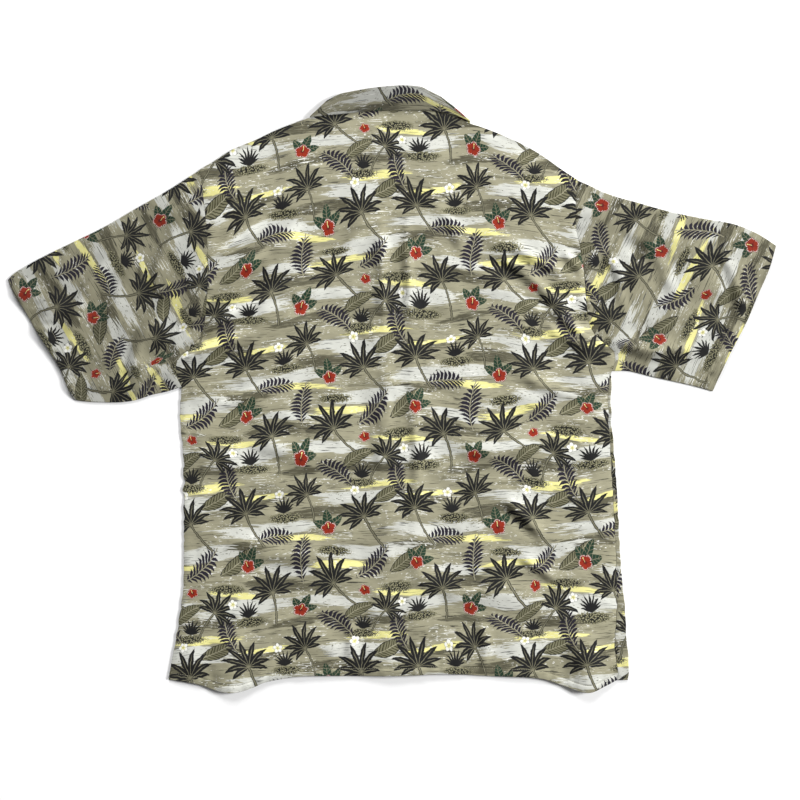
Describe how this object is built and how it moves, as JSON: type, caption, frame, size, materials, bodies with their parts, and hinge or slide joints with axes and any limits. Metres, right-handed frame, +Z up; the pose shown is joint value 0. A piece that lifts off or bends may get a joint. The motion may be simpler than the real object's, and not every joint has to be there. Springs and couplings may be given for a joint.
{
  "type": "hawaiian shirt laid flat",
  "caption": "Short-sleeved printed aloha shirt with a turned-down collar, buttoned up and laid flat with its back uppermost.",
  "frame": {"origin": "middle of the outline seen from above, on the surface that the shirt lies on", "axes": "+X to the right sleeve as seen from above, which is the wearer's right, +Y to the collar, +Z up out of the back"},
  "size_m": [1.0381, 0.8199, 0.0107],
  "materials": {
    "printed_cloth": "soft matte woven cloth with a printed pattern",
    "button": "polished, horn-like"
  },
  "bodies": {
    "root": {"back": "printed_cloth", "front_left": "printed_cloth", "front_right": "printed_cloth", "sleeve_left": "printed_cloth", "sleeve_right": "printed_cloth", "collar": "printed_cloth", "button_1": "button", "button_2": "button", "button_3": "button", "button_4": "button", "button_5": "button", "button_6": "button"}
  },
  "joints": []
}
